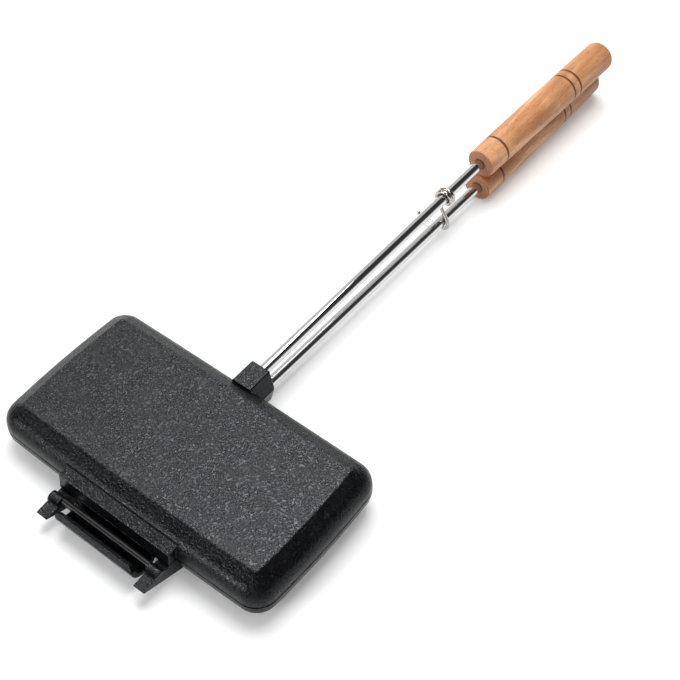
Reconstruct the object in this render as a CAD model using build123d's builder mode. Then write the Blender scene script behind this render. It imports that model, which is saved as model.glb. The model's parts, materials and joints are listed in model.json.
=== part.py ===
from build123d import *
import os
from math import asin, atan, cos, degrees, radians, sin

# A pie iron: two shallow cast-iron shells that close round a filled sandwich, each on its own long
# steel rod with a turned wooden handle. A hook cast on the upper shell turns on a pin held by two
# arms of the lower shell, and a bent-wire latch on the upper rod hooks under the lower one.
#
# Millimetres. The iron is modelled level and closed: X runs along the head, +Y towards the handles,
# and Z = 0 is the plane where the shells meet. At the end it is laid down as it rests on a table,
# on the front edge of the head and the end of the lower handle.

# ---- head ----------------------------------------------------------------------------------------
shell_height = 19.1
half_length = 110.6          # to the corners of the outline, where the shells meet
half_depth = 59.05
end_bow = 2.2                # how far the middle of each side stands out past its corners
front_bow = 1.4
rear_bow = 0.5
corner_radius = 15.6
wall_height = 10.6
wall_inset = 0.8             # draft of the wall over its height
bevel_inset = 13.6           # outline of the flat top
shoulder_radius = 13.0
top_edge_radius = 2.6
seam_edge_radius = 0.7

rim_width = 6.2
pan_wall_height = 8.3
pan_wall_inset = 6.4
pan_depth = 14.7
pan_floor_inset = 15.0
pan_edge_radius = 4.0
pan_corner_radius = 11.5

# ---- rod sockets at the back of the head ---------------------------------------------------------
socket_rear = 75.0
socket_root = 54.8
socket_top = 15.2
socket_top_left = -8.1
socket_top_right = 7.1
socket_half_width = 10.7
socket_edge_radius = 1.5

# ---- rods ----------------------------------------------------------------------------------------
rod_radius = 3.97            # 5/16 inch rod
rod_datum = 60.0             # where the rods are 18.9 mm apart
rod_rise = 9.47
rod_spread = 0.00985         # each rod leans away from the parting plane
rod_skew = 0.0085            # and both lean a little to +X
rod_start = 60.0
rod_end = 478.0
rod_chamfer = 0.5
socket_clearance = 0.03
socket_pin_radius = 1.5
socket_pin_y = 68.0
socket_pin_bottom = 1.0
socket_pin_top = 12.4

# ---- handles -------------------------------------------------------------------------------------
handle_front = 325.2
handle_length = 166.5
handle_front_radius = 11.6
handle_middle_radius = 12.4
handle_rear_radius = 12.5
handle_front_round = 1.8
handle_rear_round = 4.0
front_groove = (20.3, 11.85)  # from the front face, and the handle's radius there
rear_grooves = ((110.7, 12.5), (119.1, 12.5))
groove_radius = 1.0
groove_depth = 0.7
handle_offset = 0.4          # the rod holes are drilled slightly off centre and askew, one each way
handle_askew = 0.0199
bore_radius = 4.05
bore_depth = 158.0
nail_place = 12.0
nail_radius = 0.9
nail_tip = 4.9
nail_head_radius = 2.0
nail_head_height = 0.8

# ---- hinge ---------------------------------------------------------------------------------------
hinge_y = -73.0
hinge_z = -1.4
pin_radius = 2.38
pin_clearance = 0.02
arm_inner = 36.85
arm_outer = 45.7
arm_top = -2.75
boss_y = -74.3
boss_z = -2.2
boss_radius = 4.0
tip_rear = -78.4
tip_front = -88.2
tip_top = -3.9
tip_bottom = -4.6
tip_round = 0.5
arm_root = -57.0
arm_knee = (-56.8, -17.4)
arm_foot = (-47.6, -18.7)
pin_proud = 0.4

shelf_half_length = 46.3
shelf_top_front = (-65.3, 9.5)
shelf_top_rear = (-56.0, 11.75)
shelf_front_bottom = (-66.7, -2.3)
shelf_back = -61.4
shelf_root = -57.0
shelf_underside = 0.3        # just clear of the seam
shelf_edge_radius = 2.4
hook_y = -74.0
hook_z = -1.6
hook_inner = 7.3
hook_outer = 10.6
hook_half_length = 32.4
lip_angle = 150.0
lip_corner = 4.0
hook_root_angle = 6.0

# ---- how it rests --------------------------------------------------------------------------------
rest_tilt = 0.7832

# ---- latch ---------------------------------------------------------------------------------------
latch_y = 278.0
wire_radius = 1.5
latch_coil_radius = 5.82
latch_coil_pitch = 3.3
latch_turns = 2
latch_hook_radius = 6.1
finger_length = 17.0
finger_curl_radius = 5.0
finger_curl = 55.0


def head_outline(inset, corner, plane):
    """The head's outline, a rectangle with slightly bowed sides, drawn in by inset."""
    x = half_length - inset
    y = half_depth - inset
    with BuildSketch(plane) as outline:
        with BuildLine():
            ThreePointArc((-x, -y), (0, -y - front_bow), (x, -y))
            ThreePointArc((x, -y), (x + end_bow, 0), (x, y))
            ThreePointArc((x, y), (0, y + rear_bow), (-x, y))
            ThreePointArc((-x, y), (-x - end_bow, 0), (-x, -y))
        make_face()
        fillet(outline.vertices(), corner)
    return outline.sketch


def rod_point(side, y):
    """A point on the axis of the upper (side = 1) or the lower (side = -1) rod."""
    run = y - rod_datum
    return Vector(rod_skew * run, y, side * (rod_rise + rod_spread * run))


def rod_direction(side):
    return Vector(rod_skew, 1, side * rod_spread).normalized()


def rod_plane(side, y):
    """The plane across a rod, facing the handles."""
    return Plane(origin=rod_point(side, y), x_dir=(1, 0, 0), z_dir=rod_direction(side))


def edges_at_height(shape, height):
    return shape.edges().filter_by_position(Axis.Z, height - 0.01, height + 0.01)


def slope(across, along):
    """The taper, in degrees, of a face that moves in by across over a height of along."""
    return degrees(atan(across / along))


def dished_form(outline, wall, wall_in, bevel, bevel_in):
    """A steep wall on outline with a bevel above it, flat on top: the form of a shell and of its pan."""
    with BuildPart() as form:
        extrude(outline, amount=wall, taper=slope(wall_in, wall))
        extrude(form.faces().sort_by(Axis.Z)[-1], amount=bevel, taper=slope(bevel_in, bevel))
    return form.part


with BuildPart() as pan:
    add(
        dished_form(
            head_outline(rim_width, pan_corner_radius, Plane.XY),
            pan_wall_height,
            pan_wall_inset - rim_width,
            pan_depth - pan_wall_height,
            pan_floor_inset - pan_wall_inset,
        )
    )
    fillet(edges_at_height(pan, pan_wall_height), pan_edge_radius)
    fillet(edges_at_height(pan, pan_depth), pan_edge_radius)

with BuildPart() as socket_block:
    with BuildSketch(Plane.XZ.offset(-socket_rear)):
        Polygon(
            (-socket_half_width, 0),
            (socket_half_width, 0),
            (socket_top_right, socket_top),
            (socket_top_left, socket_top),
            align=None,
        )
    extrude(amount=socket_rear - socket_root)
    rear_face = socket_block.faces().sort_by(Axis.Y)[-1]
    sides = socket_block.edges().filter_by(Axis.Y).group_by(Axis.Z)[-1]
    fillet(rear_face.edges().sort_by(Axis.Z)[1:] + sides, socket_edge_radius)

# One shell as it is cast for either half, open side down on Z = 0, with its rod socket.
with BuildPart() as pie_shell:
    add(
        dished_form(
            head_outline(0, corner_radius, Plane.XY),
            wall_height,
            wall_inset,
            shell_height - wall_height,
            bevel_inset - wall_inset,
        )
    )
    fillet(edges_at_height(pie_shell, wall_height), shoulder_radius)
    fillet(edges_at_height(pie_shell, shell_height), top_edge_radius)

    add(socket_block.part)
    fillet(edges_at_height(pie_shell, 0), seam_edge_radius)
    add(pan.part, mode=Mode.SUBTRACT)

    with BuildSketch(rod_plane(1, rod_start)):
        Circle(rod_radius + socket_clearance)
    extrude(amount=socket_rear, mode=Mode.SUBTRACT)
    with BuildSketch():
        with Locations((rod_point(1, socket_pin_y).X, socket_pin_y)):
            Circle(socket_pin_radius)
    extrude(amount=socket_pin_top, mode=Mode.SUBTRACT)


# The hinge shelf and the hook under it, which wraps round the pin and ends in a lip in front.
with BuildPart() as hinge_hook:
    with BuildSketch(Plane.YZ) as shelf:
        Polygon(
            shelf_top_rear,
            shelf_top_front,
            shelf_front_bottom,
            (shelf_back, shelf_front_bottom[1]),
            (shelf_back, shelf_underside),
            (shelf_root, shelf_underside),
            align=None,
        )
        fillet(shelf.vertices().sort_by_distance((0, *shelf_top_front))[0], shelf_edge_radius)
    extrude(amount=shelf_half_length, both=True)
    with BuildSketch(Plane.YZ) as hook:
        with Locations((hook_y, hook_z)):
            Circle(hook_outer)
            Circle(hook_inner, mode=Mode.SUBTRACT)
        with BuildLine():
            lip = PolarLine((hook_y, hook_z), 2 * hook_outer, lip_angle)
            top = PolarLine((hook_y, hook_z), 2 * hook_outer, hook_root_angle)
            Line(lip @ 1, (hook_y, hook_z + 3 * hook_outer))
            Line((hook_y, hook_z + 3 * hook_outer), top @ 1)
        make_face(mode=Mode.SUBTRACT)
    extrude(amount=hook_half_length, both=True)
    lip_face = hinge_hook.faces().sort_by_distance(
        (0, hook_y + hook_inner * cos(radians(lip_angle)), hook_z + hook_inner * sin(radians(lip_angle)))
    )[0]
    lip_ends = lip_face.edges().group_by(Axis.X)
    fillet(lip_ends[0] + lip_ends[-1], lip_corner)

with BuildPart() as upper_shell:
    add(pie_shell.part)
    add(hinge_hook.part)

# An arm of the lower shell: a wedge with a boss for the pin.
with BuildPart() as arm:
    with BuildSketch(Plane.YZ.offset(arm_inner)):
        Polygon(
            (arm_root, arm_top),
            (boss_y, arm_top),
            (tip_rear, arm_top),
            (tip_front + tip_round, tip_top),
            (tip_front, (tip_top + tip_bottom) / 2),
            (tip_front + tip_round, tip_bottom),
            arm_knee,
            arm_foot,
            (arm_root, -shell_height / 2),
            align=None,
        )
        with Locations((boss_y, boss_z)):
            Circle(boss_radius)
    extrude(amount=arm_outer - arm_inner)

with BuildPart() as lower_shell:
    mirror(pie_shell.part, about=Plane.XY)
    add(arm.part)
    mirror(arm.part, about=Plane.YZ)
    with BuildSketch(Plane.YZ):
        with Locations((hinge_y, hinge_z)):
            Circle(pin_radius + pin_clearance)
    extrude(amount=arm_outer, both=True, mode=Mode.SUBTRACT)

with BuildPart() as hinge_pin:
    with BuildSketch(Plane.YZ):
        with Locations((hinge_y, hinge_z)):
            Circle(pin_radius)
    extrude(amount=arm_outer + pin_proud, both=True)
    chamfer(hinge_pin.faces().filter_by(Axis.X).edges(), pin_proud)


def rod(side):
    """A straight rod, drilled for the pin that holds it in its socket."""
    with BuildPart() as bar:
        with BuildSketch(rod_plane(side, rod_start)):
            Circle(rod_radius)
        extrude(amount=rod_end - rod_start)
        chamfer(bar.edges().filter_by(GeomType.CIRCLE), rod_chamfer)
        with BuildSketch():
            with Locations((rod_point(side, socket_pin_y).X, socket_pin_y)):
                Circle(socket_pin_radius)
        extrude(amount=side * socket_pin_top, mode=Mode.SUBTRACT)
    return bar


def socket_pin(side):
    """The grooved pin driven in from the mating face, through the rod."""
    with BuildPart() as pin:
        bottom = Plane.XY.offset(side * socket_pin_bottom)
        with BuildSketch(bottom):
            with Locations((rod_point(side, socket_pin_y).X, socket_pin_y)):
                Circle(socket_pin_radius)
        extrude(amount=side * (socket_pin_top - socket_pin_bottom))
    return pin


def handle_axis(side):
    """The handle's own axis, which leaves the rod's by a small angle in plan."""
    direction = rod_direction(side)
    return Vector(direction.X + side * handle_askew, direction.Y, direction.Z).normalized()


def handle_plane(side):
    """The plane through the handle's axis, with its origin in the middle of the front face."""
    axis = handle_axis(side)
    front = rod_point(side, handle_front) + Vector(side * handle_offset, 0, 0)
    return Plane(origin=front, x_dir=axis, z_dir=Vector(0, 0, 1).cross(axis))


def nail_plane(side):
    """Where the nail goes in: across the handle, from its -X side."""
    grip_plane = handle_plane(side)
    return Plane(
        origin=grip_plane.from_local_coords((nail_place, 0, 0)),
        x_dir=grip_plane.x_dir,
        z_dir=grip_plane.z_dir,
    )


def handle(side):
    """A turned handle: slightly swelling, with grooves, and bored for the rod and the nail."""
    profile_plane = handle_plane(side)
    turning_axis = Axis(profile_plane.origin, profile_plane.x_dir)
    middle = handle_length / 2
    with BuildPart() as grip:
        with BuildSketch(profile_plane) as profile:
            with BuildLine():
                swell = ThreePointArc(
                    (0, handle_front_radius),
                    (middle, handle_middle_radius),
                    (handle_length, handle_rear_radius),
                )
                Polyline(swell @ 1, (handle_length, 0), (0, 0), swell @ 0)
            make_face()
        revolve(axis=turning_axis)
        rims = grip.edges().filter_by(GeomType.CIRCLE).sort_by(turning_axis)
        fillet(rims[0], handle_front_round)
        fillet(grip.edges().filter_by(GeomType.CIRCLE).sort_by(turning_axis)[-1], handle_rear_round)
        for place, surface in (front_groove, *rear_grooves):
            with BuildSketch(profile_plane):
                with Locations((place, surface + groove_radius - groove_depth)):
                    Circle(groove_radius)
            revolve(axis=turning_axis, mode=Mode.SUBTRACT)
        with BuildSketch(rod_plane(side, handle_front - 1)):
            Circle(bore_radius)
        extrude(amount=bore_depth, mode=Mode.SUBTRACT)
        add(nail(side).part, mode=Mode.SUBTRACT)
    return grip


def nail(side):
    """A small round-headed nail, sunk flush in the handle and ending just short of the rod."""
    plane = nail_plane(side)
    with BuildPart() as brad:
        with BuildSketch(plane.offset(handle_front_radius - nail_head_height)):
            Circle(nail_head_radius)
        extrude(amount=nail_head_height)
        with BuildSketch(plane.offset(handle_front_radius - nail_head_height)):
            Circle(nail_radius)
        extrude(amount=-(handle_front_radius - nail_head_height - nail_tip))
    return brad


def bent_wire_latch():
    """Two turns round the upper rod, a straight run past the lower rod, a hook under it, a finger."""
    centre = rod_point(1, latch_y)
    across = Plane(origin=centre, x_dir=(1, 0, 0), z_dir=-rod_direction(1))
    drop = across.to_local_coords(rod_point(-1, latch_y)).Y
    lean = asin((latch_coil_radius + latch_hook_radius) / -drop)
    leaving = (-latch_coil_radius * cos(lean), -latch_coil_radius * sin(lean))
    arriving = (latch_hook_radius * cos(lean), drop + latch_hook_radius * sin(lean))
    coil_plane = Plane(
        origin=centre,
        x_dir=across.from_local_coords(Vector(*leaving)) - centre,
        z_dir=rod_direction(1),
    )
    coil = coil_plane * Helix(latch_coil_pitch, latch_coil_pitch * latch_turns, latch_coil_radius)
    under = drop - latch_hook_radius
    with BuildLine(across) as hook:
        Line(leaving, arriving)
        CenterArc((0, drop), latch_hook_radius, degrees(lean), -90 - degrees(lean))
        Line((0, under), (-finger_length, under))
        JernArc((-finger_length, under), (-1, 0), finger_curl_radius, -finger_curl)
    hook_path = hook.wire()
    with BuildPart() as wire:
        with BuildSketch(Plane(origin=coil @ 0, z_dir=coil % 0)):
            Circle(wire_radius)
        sweep(path=coil, is_frenet=True)
        with BuildSketch(Plane(origin=hook_path @ 0, z_dir=hook_path % 0)):
            Circle(wire_radius)
        sweep(path=hook_path)
        with Locations(coil @ 0, coil @ 1, hook_path @ 1):
            Sphere(wire_radius)
    return wire


pieces = {
    "lower_shell": lower_shell,
    "upper_shell": upper_shell,
    "hinge_pin": hinge_pin,
    "latch": bent_wire_latch(),
}
for half, side in (("lower", -1), ("upper", 1)):
    pieces[f"{half}_rod"] = rod(side)
    pieces[f"{half}_rod_pin"] = socket_pin(side)
    pieces[f"{half}_handle"] = handle(side)
    pieces[f"{half}_handle_nail"] = nail(side)

# Laid down: tilted until the front edge of the head and the end of the lower handle both touch the
# table, with the origin on the table in the middle of the iron's outline.
tilted = Rotation(rest_tilt, 0, 0)
outline_box = Compound([tilted * piece.part for piece in pieces.values()]).bounding_box()
resting = Location((-outline_box.center().X, -outline_box.center().Y, -outline_box.min.Z)) * tilted

os.makedirs("parts", exist_ok=True)
for name, piece in pieces.items():
    piece.part.label = name
    piece.part.move(resting)
    export_step(piece.part, f"parts/{name}.step")
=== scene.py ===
import bpy
import json
import math
from mathutils import Matrix, Vector

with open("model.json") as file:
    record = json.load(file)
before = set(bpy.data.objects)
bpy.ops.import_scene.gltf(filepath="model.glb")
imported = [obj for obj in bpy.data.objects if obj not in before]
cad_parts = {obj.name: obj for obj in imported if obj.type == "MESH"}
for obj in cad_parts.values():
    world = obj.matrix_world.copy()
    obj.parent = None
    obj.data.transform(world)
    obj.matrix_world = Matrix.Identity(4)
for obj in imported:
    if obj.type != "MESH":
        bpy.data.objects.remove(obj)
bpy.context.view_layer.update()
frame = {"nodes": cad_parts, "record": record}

# ---- the iron's own level frame, in millimetres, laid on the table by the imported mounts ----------
mounts = {m["name"]: m for m in frame["record"]["mounts"]}
head_top = Vector(mounts["top_face"]["pos_m"])
head_bottom = Vector(mounts["bottom_face"]["pos_m"])
HEAD_CENTRE = (head_top + head_bottom) / 2
UP = Vector(mounts["top_face"]["axis"]).normalized()
ACROSS = Vector((1, 0, 0))
ALONG = UP.cross(ACROSS)
MM = 0.001


def level(x, y, z):
    """A point of the level iron, millimetres from the middle of the head, in the frame's metres."""
    return HEAD_CENTRE + (ACROSS * x + ALONG * y + UP * z) * MM


def level_direction(x, y, z):
    return (ACROSS * x + ALONG * y + UP * z).normalized()


# ---- camera ---------------------------------------------------------------------------------------
CAMERA_PLACE = (367.2, -309.9, 688.7)   # level frame, millimetres
CAMERA_YAW = math.radians(-38.14)
CAMERA_PITCH = math.radians(50.69)
FOCAL_PIXELS = 1305.8
PHOTO_PIXELS = 680
SENSOR_MM = 36.0
AIM_RIGHT = 0.1 / FOCAL_PIXELS          # a fraction of a pixel to the right and down
AIM_UP = -0.25 / FOCAL_PIXELS


def make_camera():
    data = bpy.data.cameras.new("camera")
    data.sensor_width = SENSOR_MM
    data.lens = FOCAL_PIXELS / PHOTO_PIXELS * SENSOR_MM
    data.clip_start = 0.01
    data.clip_end = 20
    camera = bpy.data.objects.new("camera", data)
    bpy.context.scene.collection.objects.link(camera)
    forward = level_direction(
        math.sin(CAMERA_YAW) * math.cos(CAMERA_PITCH),
        math.cos(CAMERA_YAW) * math.cos(CAMERA_PITCH),
        -math.sin(CAMERA_PITCH),
    )
    right = level_direction(math.cos(CAMERA_YAW), -math.sin(CAMERA_YAW), 0)
    up = right.cross(forward)
    forward = (forward + right * AIM_RIGHT + up * AIM_UP).normalized()
    right = forward.cross(up).normalized()
    up = right.cross(forward)
    turn = Matrix((right, up, -forward)).transposed().to_4x4()
    camera.matrix_world = Matrix.Translation(level(*CAMERA_PLACE)) @ turn
    bpy.context.scene.camera = camera


make_camera()


# ---- node helpers ---------------------------------------------------------------------------------
def new_material(name):
    material = bpy.data.materials.new(name)
    material.use_nodes = True
    tree = material.node_tree
    return material, tree, tree.nodes["Principled BSDF"]


def put(tree, socket, value):
    """Set a socket to a number or colour, or link it to another node's output."""
    if isinstance(value, bpy.types.NodeSocket):
        tree.links.new(value, socket)
    elif isinstance(value, (tuple, list, Vector)) and socket.type == "RGBA":
        socket.default_value = (*value, 1.0)
    else:
        socket.default_value = value


def math_node(tree, operation, first, second=0.0, third=0.0):
    made = tree.nodes.new("ShaderNodeMath")
    made.operation = operation
    for socket, value in zip(made.inputs, (first, second, third)):
        put(tree, socket, value)
    return made.outputs[0]


def vector_node(tree, operation, first, second=(0.0, 0.0, 0.0)):
    made = tree.nodes.new("ShaderNodeVectorMath")
    made.operation = operation
    put(tree, made.inputs[0], first)
    put(tree, made.inputs[1], second)
    return made.outputs["Value" if operation in ("DOT_PRODUCT", "LENGTH") else "Vector"]


def ramp(tree, value, low, high, low_out=0.0, high_out=1.0, smooth=True):
    made = tree.nodes.new("ShaderNodeMapRange")
    made.interpolation_type = "SMOOTHSTEP" if smooth else "LINEAR"
    limits = {"From Min": low, "From Max": high, "To Min": low_out, "To Max": high_out}
    for name, number in limits.items():
        made.inputs[name].default_value = number
    put(tree, made.inputs["Value"], value)
    return made.outputs["Result"]


def mix_colour(tree, factor, first, second, blend="MIX"):
    made = tree.nodes.new("ShaderNodeMix")
    made.data_type = "RGBA"
    made.blend_type = blend
    put(tree, made.inputs[0], factor)
    put(tree, made.inputs[6], first)
    put(tree, made.inputs[7], second)
    return made.outputs[2]


def noise(tree, vector, scale, detail=3.0, roughness=0.5, distortion=0.0):
    made = tree.nodes.new("ShaderNodeTexNoise")
    made.inputs["Scale"].default_value = scale
    made.inputs["Detail"].default_value = detail
    made.inputs["Roughness"].default_value = roughness
    made.inputs["Distortion"].default_value = distortion
    put(tree, made.inputs["Vector"], vector)
    return made.outputs["Fac"]


def cells(tree, vector, scale, smoothness=0.5, randomness=1.0):
    made = tree.nodes.new("ShaderNodeTexVoronoi")
    made.feature = "SMOOTH_F1"
    made.inputs["Scale"].default_value = scale
    made.inputs["Smoothness"].default_value = smoothness
    made.inputs["Randomness"].default_value = randomness
    put(tree, made.inputs["Vector"], vector)
    return made.outputs["Distance"]


def bump(tree, height, strength, distance, normal=None):
    made = tree.nodes.new("ShaderNodeBump")
    made.inputs["Distance"].default_value = distance
    put(tree, made.inputs["Strength"], strength)
    put(tree, made.inputs["Height"], height)
    if normal is not None:
        put(tree, made.inputs["Normal"], normal)
    return made.outputs["Normal"]


def rounded(tree, radius):
    """The surface's normal with its edges rounded to radius."""
    made = tree.nodes.new("ShaderNodeBevel")
    made.samples = 4
    made.inputs["Radius"].default_value = radius
    return made.outputs["Normal"]


def shade_openness(tree, distance):
    """1 on open surfaces, less in corners and crevices: the mask for painted shade and painted
    shadow.
    """
    made = tree.nodes.new("ShaderNodeAmbientOcclusion")
    made.samples = 4
    made.only_local = False
    made.inputs["Distance"].default_value = distance
    return made.outputs["AO"]


def own_coordinates(tree):
    return tree.nodes.new("ShaderNodeTexCoord").outputs["Object"]


def own_normal(tree):
    return tree.nodes.new("ShaderNodeTexCoord").outputs["Normal"]


def along(tree, place, origin, direction):
    """How far, in metres, a point lies from origin along direction."""
    away = vector_node(tree, "SUBTRACT", place, origin)
    return vector_node(tree, "DOT_PRODUCT", away, direction)


def along_line(tree, place, origin, direction):
    """How far, in metres, a point lies from the line through origin along direction."""
    away = vector_node(tree, "SUBTRACT", place, origin)
    return vector_node(tree, "LENGTH", vector_node(tree, "CROSS_PRODUCT", away, direction))


def stretched(tree, place, scale):
    return vector_node(tree, "MULTIPLY", place, scale)


def as_vector(tree, value):
    """The same number three times over: a grey, or an even scale."""
    made = tree.nodes.new("ShaderNodeCombineXYZ")
    for socket in made.inputs:
        put(tree, socket, value)
    return made.outputs[0]


def times(tree, first, second):
    return math_node(tree, "MULTIPLY", first, second)


def straight(tree, value, low_out, high_out):
    """A straight run from low_out to high_out as value goes from 0 to 1."""
    return ramp(tree, value, 0.0, 1.0, low_out, high_out, False)


# ---- cast iron ------------------------------------------------------------------------------------
IRON_DARK = (0.0035, 0.0036, 0.004)
IRON_LIGHT = (0.0085, 0.0088, 0.0096)
IRON_SHEEN = (0.90, 0.94, 1.0)
IRON_ROUGHNESS = (0.22, 0.31)
SHEEN_LEVEL = (0.17, 0.40)          # of the sloping and of the level skin
SHEEN_WORN_EDGE = 0.6               # added where an edge has been rubbed
EDGE_ROUNDING = 0.0008
SHELF_ROOT = (0.0, -57.2, 11.46)    # where the hinge shelf meets the bevel
SHELF_REACH = 47.0                  # half its length
SEAM_HALF_WIDTH = 0.00065
SEAM_UNEVEN = 0.0004


def worms(tree, place, scale):
    """Short crooked ridges, as in the skin of sand-cast iron."""
    field = noise(tree, place, scale, 1.0, 0.5, 0.3)
    wave = math_node(tree, "SINE", times(tree, field, 30.0))
    return ramp(tree, wave, -1.0, 1.0)


def seam_and_painted_crease(tree, place):
    """1 in the seam between the halves, a dark joint, and along the line where the hinge shelf was
    cast on, a painted shade line in the crease.
    """
    uneven = noise(tree, place, 120.0, 2.0)
    seam = math_node(tree, "ABSOLUTE", along(tree, place, HEAD_CENTRE, UP))
    seam = math_node(tree, "SUBTRACT", seam, ramp(tree, uneven, 0.45, 0.65, 0.0, SEAM_UNEVEN))
    seam = ramp(tree, seam, SEAM_HALF_WIDTH * 0.4, SEAM_HALF_WIDTH * 1.4, 1.0, 0.0)
    # painted shade: a thin dark line along the crease at the shelf's root
    crease_shade = along_line(tree, place, level(*SHELF_ROOT), ACROSS)
    crease_shade = ramp(tree, crease_shade, 0.0004, 0.001, 1.0, 0.0)
    reach = math_node(tree, "ABSOLUTE", along(tree, place, HEAD_CENTRE, ACROSS))
    inside = math_node(tree, "LESS_THAN", reach, SHELF_REACH * MM)
    return math_node(tree, "MAXIMUM", seam, times(tree, crease_shade, inside))


def iron_sheen_and_painted_shade(tree, place, level_skin, ridges, soft_edges):
    """More shine on level skin, ridges and rubbed edges, none in the seam between the halves, and
    painted shade that takes it out of corners, crevices and the crease at the hinge shelf.
    """
    sheen = straight(tree, level_skin, *SHEEN_LEVEL)
    true_normal = tree.nodes.new("ShaderNodeNewGeometry").outputs["Normal"]
    bend = vector_node(tree, "DOT_PRODUCT", soft_edges, true_normal)
    edge = ramp(tree, bend, 0.86, 0.985, 1.0, 0.0)
    sheen = math_node(tree, "MULTIPLY_ADD", edge, SHEEN_WORN_EDGE, sheen)
    sheen = times(tree, sheen, straight(tree, ridges, 0.7, 1.3))
    # painted shade: the occlusion mask dims the shine in corners and crevices
    painted_shade_and_seam = ramp(tree, shade_openness(tree, 0.008), 0.4, 0.85, 0.08, 1.0)
    painted_shade_and_seam = times(tree, painted_shade_and_seam, straight(tree, seam_and_painted_crease(tree, place), 1.0, 0.03))
    return times(tree, sheen, painted_shade_and_seam)


def cast_iron(name):
    """Seasoned cast iron: leathery where the mould was rough, smoother on the upright walls."""
    material, tree, shader = new_material(name)
    place = own_coordinates(tree)
    facing = vector_node(tree, "DOT_PRODUCT", own_normal(tree), UP)
    facing = math_node(tree, "ABSOLUTE", facing)
    level_skin = ramp(tree, facing, 0.80, 0.985)
    rugged = ramp(tree, facing, 0.25, 0.6, 0.16, 1.0)
    rugged = times(tree, rugged, straight(tree, level_skin, 0.5, 1.15))
    soft_edges = rounded(tree, EDGE_ROUNDING)

    pebbles = cells(tree, place, 600.0, 0.4)
    ridges = worms(tree, place, 300.0)
    fine = noise(tree, place, 950.0, 3.0, 0.6, 0.4)
    broad = noise(tree, place, 70.0, 3.0, 0.55)
    grain = noise(tree, place, 3200.0, 2.0, 0.6)

    shade = mix_colour(tree, ramp(tree, fine, 0.3, 0.75), IRON_DARK, IRON_LIGHT)
    tone_and_painted_top_light = ramp(tree, broad, 0.3, 0.75, 0.8, 1.15)
    # painted light: level faces get a base up to 2.4 times lighter than sloping ones; the broad noise
    # is the iron's own uneven tone
    tone_and_painted_top_light = times(tree, tone_and_painted_top_light, straight(tree, level_skin, 1.0, 2.4))
    shade = mix_colour(tree, 1.0, shade, as_vector(tree, tone_and_painted_top_light), "MULTIPLY")
    put(tree, shader.inputs["Base Color"], shade)
    sheen = iron_sheen_and_painted_shade(tree, place, level_skin, ridges, soft_edges)
    put(tree, shader.inputs["Specular IOR Level"], sheen)
    shader.inputs["Specular Tint"].default_value = (*IRON_SHEEN, 1.0)
    rough = ramp(tree, fine, 0.25, 0.8, *IRON_ROUGHNESS)
    rough = math_node(tree, "MULTIPLY_ADD", level_skin, 0.01, rough)
    rough = math_node(tree, "ADD", rough, ramp(tree, broad, 0.3, 0.7, -0.03, 0.05))
    put(tree, shader.inputs["Roughness"], rough)

    normal = bump(tree, pebbles, times(tree, rugged, 0.3), 0.0005, soft_edges)
    normal = bump(tree, ridges, times(tree, rugged, 0.9), 0.0002, normal)
    normal = bump(tree, fine, times(tree, rugged, 0.5), 0.0002, normal)
    normal = bump(tree, grain, 0.2, 0.00003, normal)
    put(tree, shader.inputs["Normal"], normal)
    return material


# ---- steel ----------------------------------------------------------------------------------------
def plated(name, colour, roughness, scuff):
    """Bright plating with a little uneven polish."""
    material, tree, shader = new_material(name)
    shader.inputs["Base Color"].default_value = (*colour, 1.0)
    shader.inputs["Metallic"].default_value = 1.0
    uneven = noise(tree, own_coordinates(tree), 260.0, 3.0, 0.6)
    uneven = ramp(tree, uneven, 0.3, 0.7, roughness, roughness + scuff)
    put(tree, shader.inputs["Roughness"], uneven)
    return material


def black_steel(name):
    """Smooth steel, blackened and oiled, with a few dull spots."""
    material, tree, shader = new_material(name)
    spots = noise(tree, own_coordinates(tree), 700.0, 2.0)
    shader.inputs["Base Color"].default_value = (0.006, 0.006, 0.007, 1.0)
    shader.inputs["Specular IOR Level"].default_value = 0.35
    put(tree, shader.inputs["Roughness"], ramp(tree, spots, 0.45, 0.7, 0.3, 0.42))
    return material


# ---- beech ----------------------------------------------------------------------------------------
WOOD_PALE = (0.84, 0.47, 0.245)
WOOD_MID = (0.58, 0.26, 0.11)
WOOD_PATCH = (0.38, 0.14, 0.048)
WOOD_STREAK = (0.46, 0.175, 0.062)
WOOD_PORE = (0.28, 0.09, 0.03)
WOOD_FLECK = (0.24, 0.075, 0.025)
WOOD_REAR = (0.42, 0.17, 0.06)       # towards the far end of the handle
WOOD_END = (0.42, 0.19, 0.09)
WOOD_END_RING = (0.26, 0.105, 0.045)
WOOD_RIM = (0.30, 0.09, 0.03)
BURNT = (0.10, 0.028, 0.008)
# painted shade round the rods' holes
ROD_HOLE_PAINTED_SHADE = (0.07, 0.028, 0.014)

# Level frame, millimetres: where each rod enters its handle, how the handles lean, how far off the
# handle's middle the rod's hole is, and how far behind the front face the turned grooves are.
ROD_ENTRY = {"upper": (2.254, 325.2, 12.082), "lower": (2.254, 325.2, -12.082)}
HANDLE_LEAN = {"upper": (0.0284, 1.0, 0.00985), "lower": (-0.0114, 1.0, -0.00985)}
HANDLE_OFFSET = 0.4
PITH = (-3.0, -5.0)                  # the middle of the growth rings, across and up
TURNED_GROOVES = (20.3, 110.7, 119.1)
GROOVE_EDGES = (0.0008, 0.00125)
ROD_HOLE_SHADE_RADII = (0.0043, 0.0052)


def long_grain(tree, place, shortening, scale, detail, roughness, distortion=0.0):
    """Noise drawn out along the handle."""
    drawn = stretched(tree, place, (1.0, shortening, 1.0))
    return noise(tree, drawn, scale, detail, roughness, distortion)


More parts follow.
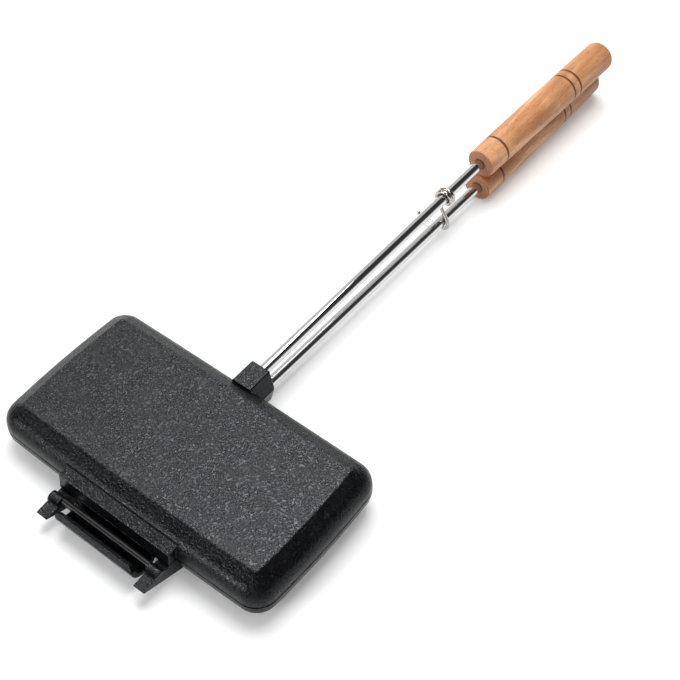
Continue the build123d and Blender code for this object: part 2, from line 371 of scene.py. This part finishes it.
def end_grain(tree, place, local, pith):
    """Growth rings, as they show on the handle's end faces."""
    flattened = stretched(tree, place, (1, 0, 1))
    away = vector_node(tree, "SUBTRACT", flattened, (pith.x, 0, pith.z))
    from_pith = vector_node(tree, "LENGTH", away)
    wobble = times(tree, noise(tree, local, 160.0, 3.0, 0.6), 14.0)
    rings = math_node(tree, "SINE", math_node(tree, "MULTIPLY_ADD", from_pith, 3300.0, wobble))
    return mix_colour(tree, ramp(tree, rings, -0.6, 1.0), WOOD_END, WOOD_END_RING)


def burnt_grooves(tree, run):
    """1 in the turned grooves."""
    burnt = 0.0
    for groove in TURNED_GROOVES:
        away = math_node(tree, "ABSOLUTE", math_node(tree, "SUBTRACT", run, groove * MM))
        burnt = math_node(tree, "MAXIMUM", burnt, ramp(tree, away, *GROOVE_EDGES, 1.0, 0.0))
    return burnt


def beech(half):
    """Oiled beech: long soft streaks, short dark flecks, burnt grooves, rings on the end faces."""
    material, tree, shader = new_material(f"beech_{half}")
    place = own_coordinates(tree)
    side = 1 if half == "upper" else -1
    x, y, z = ROD_ENTRY[half]
    axis = level_direction(*HANDLE_LEAN[half])
    run = along(tree, place, level(x + side * HANDLE_OFFSET, y, z), axis)
    own_piece_of_wood = (0.013 * side, 0.07 * side, 0.031)
    local = vector_node(tree, "ADD", place, own_piece_of_wood)

    broad = long_grain(tree, local, 0.07, 190.0, 3.0, 0.55, 0.3)
    patch = long_grain(tree, local, 0.35, 60.0, 2.0, 0.5)
    streak = long_grain(tree, local, 0.035, 900.0, 3.0, 0.6)
    pores = long_grain(tree, local, 0.16, 1900.0, 1.0, 0.5)
    flecks = long_grain(tree, local, 0.13, 1150.0, 1.0, 0.5)

    colour = mix_colour(tree, ramp(tree, broad, 0.32, 0.68), WOOD_PALE, WOOD_MID)
    colour = mix_colour(tree, ramp(tree, patch, 0.4, 0.65, 0.0, 0.6), colour, WOOD_PATCH)
    colour = mix_colour(tree, ramp(tree, streak, 0.4, 0.75, 0.0, 0.4), colour, WOOD_STREAK)
    colour = mix_colour(tree, ramp(tree, pores, 0.6, 0.72, 0.0, 0.35), colour, WOOD_PORE)
    colour = mix_colour(tree, ramp(tree, flecks, 0.64, 0.72, 0.0, 0.6), colour, WOOD_FLECK)
    colour = mix_colour(tree, ramp(tree, run, 0.07, 0.15, 0.0, 0.42), colour, WOOD_REAR)

    across = vector_node(tree, "DOT_PRODUCT", own_normal(tree), axis)
    across = math_node(tree, "ABSOLUTE", across)
    end_face = ramp(tree, across, 0.6, 0.9)
    pith = level(x + side * HANDLE_OFFSET + PITH[0], y, z + PITH[1])
    colour = mix_colour(tree, end_face, colour, end_grain(tree, place, local, pith))
    colour = mix_colour(tree, times(tree, burnt_grooves(tree, run), 0.95), colour, BURNT)
    # painted shade: a dark ring round the rod's line, on every face it meets
    from_rod = along_line(tree, place, level(x, y, z), axis)
    painted_hole_shade = ramp(tree, from_rod, *ROD_HOLE_SHADE_RADII, 1.0, 0.0)
    colour = mix_colour(tree, times(tree, painted_hole_shade, 0.85), colour, ROD_HOLE_PAINTED_SHADE)
    rim = times(tree, ramp(tree, across, 0.3, 0.7), math_node(tree, "SUBTRACT", 1.0, end_face))
    colour = mix_colour(tree, times(tree, rim, 0.35), colour, WOOD_RIM)
    put(tree, shader.inputs["Base Color"], colour)

    shader.inputs["Specular IOR Level"].default_value = 0.4
    put(tree, shader.inputs["Roughness"], ramp(tree, streak, 0.3, 0.7, 0.4, 0.52))
    pits = times(tree, ramp(tree, pores, 0.58, 0.72), 0.6)
    height = math_node(tree, "SUBTRACT", streak, pits)
    put(tree, shader.inputs["Normal"], bump(tree, height, 0.3, 0.00012))
    return material


finishes = {
    "cast_iron": cast_iron("cast_iron"),
    "rod_steel": plated("rod_steel", (0.60, 0.60, 0.60), 0.03, 0.02),
    "latch_wire": plated("latch_wire", (0.46, 0.425, 0.39), 0.14, 0.05),
    "pin_steel": plated("pin_steel", (0.30, 0.29, 0.28), 0.3, 0.05),
    "hinge_steel": black_steel("hinge_steel"),
}
slots = {part["node"]: part["material_slot"] for part in frame["record"]["subparts"]}
for node, piece in frame["nodes"].items():
    if slots[node] == "wood":
        finish = beech(node.split("_")[0])
    else:
        finish = finishes[slots[node]]
    piece.data.materials.clear()
    piece.data.materials.append(finish)


# ---- floor ----------------------------------------------------------------------------------------
FLOOR_SIZE = 18.0
FLOOR_COLOUR = 0.9             # what lights the object
FLOOR_COLOUR_SEEN = 0.80       # what is seen of it: its colour in the light
FLOOR_WHITE_SEEN = 0.37        # and its own white, which drops close under the object: a painted shadow
FLOOR_WHITE_IN_PAINTED_SHADOW = 0.1
PAINTED_SHADOW_REACH = 0.025


def white_seen(tree):
    """1 for the rays that see the background: from the camera, from gloss and through glass."""
    path = tree.nodes.new("ShaderNodeLightPath")
    seen = math_node(tree, "MAXIMUM", path.outputs["Is Camera Ray"], path.outputs["Is Glossy Ray"])
    return math_node(tree, "MAXIMUM", seen, path.outputs["Is Transmission Ray"])


def white_floor_with_painted_shadow():
    material = bpy.data.materials.new("white_floor_with_painted_shadow")
    material.use_nodes = True
    tree = material.node_tree
    tree.nodes.clear()
    seen = white_seen(tree)
    lit = tree.nodes.new("ShaderNodeBsdfDiffuse")
    grey = straight(tree, seen, FLOOR_COLOUR, FLOOR_COLOUR_SEEN)
    put(tree, lit.inputs["Color"], as_vector(tree, grey))
    white = tree.nodes.new("ShaderNodeEmission")
    # painted shadow: the floor's own white drops where the object stands close over it
    floor_painted_shadow = shade_openness(tree, PAINTED_SHADOW_REACH)
    own_white_less_painted_shadow = ramp(tree, floor_painted_shadow, 0.0, 0.85, FLOOR_WHITE_IN_PAINTED_SHADOW, FLOOR_WHITE_SEEN, False)
    put(tree, white.inputs["Strength"], times(tree, seen, own_white_less_painted_shadow))
    mixer = tree.nodes.new("ShaderNodeAddShader")
    put(tree, mixer.inputs[0], lit.outputs[0])
    put(tree, mixer.inputs[1], white.outputs[0])
    output = tree.nodes.new("ShaderNodeOutputMaterial")
    put(tree, output.inputs["Surface"], mixer.outputs[0])
    return material


def make_floor():
    mesh = bpy.data.meshes.new("floor")
    corners = [(FLOOR_SIZE * x, FLOOR_SIZE * y, 0) for x, y in ((-1, -1), (1, -1), (1, 1), (-1, 1))]
    mesh.from_pydata(corners, [], [(0, 1, 2, 3)])
    mesh.materials.append(white_floor_with_painted_shadow())
    floor = bpy.data.objects.new("floor", mesh)
    bpy.context.scene.collection.objects.link(floor)


# ---- light ----------------------------------------------------------------------------------------
# The studio round the object: dim overhead, brighter towards the horizon and white below it, with
# a pale wall on the left that stops short of the front, and three small soft boxes in front.
SKY_DIM = 0.05
HORIZON_GLOW = 0.75
FRONT_GLOW = 0.25
HORIZON_RISE = (0.0, 0.38)
LEFT_WALL = 0.80
LEFT_WALL_EDGE = math.radians(-17)
# Each soft box: where it stands, its inner and outer radius in degrees, and its brightness.
SOFT_BOXES = (
    ((-0.50, -0.79, 0.36), 4.0, 12.0, 6.0),
    ((-0.34, -0.88, 0.32), 4.0, 12.0, 15.0),
    ((0.30, -0.80, 0.52), 3.0, 8.0, 10.0),
)


def horizon(tree, height, rearward):
    glow = ramp(tree, height, *HORIZON_RISE, 1.0, 0.0)
    strength = ramp(tree, rearward, -0.5, 0.2, FRONT_GLOW, HORIZON_GLOW)
    return math_node(tree, "MULTIPLY_ADD", glow, strength, SKY_DIM)


def left_wall(tree, direction, rearward):
    past_edge = (-math.cos(LEFT_WALL_EDGE), 0, math.sin(LEFT_WALL_EDGE))
    side = vector_node(tree, "DOT_PRODUCT", direction, past_edge)
    wall = ramp(tree, side, -0.14, 0.14, 0.0, LEFT_WALL)
    return times(tree, wall, ramp(tree, rearward, -0.4, 0.05))


def front_box(tree, direction, towards, inner, outer, brightness):
    facing = vector_node(tree, "DOT_PRODUCT", direction, Vector(towards).normalized())
    rim = math.cos(math.radians(outer))
    middle = math.cos(math.radians(inner))
    return ramp(tree, facing, rim, middle, 0.0, brightness)


def make_world():
    world = bpy.data.worlds.new("studio")
    bpy.context.scene.world = world
    world.use_nodes = True
    tree = world.node_tree
    direction = tree.nodes.new("ShaderNodeTexCoord").outputs["Generated"]
    height = vector_node(tree, "DOT_PRODUCT", direction, (0, 0, 1))
    rearward = vector_node(tree, "DOT_PRODUCT", direction, (0, 1, 0))
    lights = [left_wall(tree, direction, rearward)]
    for box in SOFT_BOXES:
        lights.append(front_box(tree, direction, *box))
    lights.append(ramp(tree, height, -0.02, 0.0, 1.0, 0.0))
    sky = horizon(tree, height, rearward)
    for light in lights:
        sky = math_node(tree, "MAXIMUM", sky, light)
    background = tree.nodes["Background"]
    background.inputs["Color"].default_value = (1, 1, 1, 1)
    put(tree, background.inputs["Strength"], sky)


def soft_box(name, place, size, turn, power):
    """A square soft box, level with the floor."""
    data = bpy.data.lights.new(name, "AREA")
    data.shape = "SQUARE"
    data.size = size
    data.energy = power
    lamp = bpy.data.objects.new(name, data)
    lamp.location = level(*place)
    lamp.rotation_euler = (0, 0, math.radians(turn))
    bpy.context.scene.collection.objects.link(lamp)


make_floor()
make_world()
soft_box("overhead", (-180, 540, 1600), 1.0, -18, 25.5)
bpy.context.scene.view_settings.view_transform = "Standard"
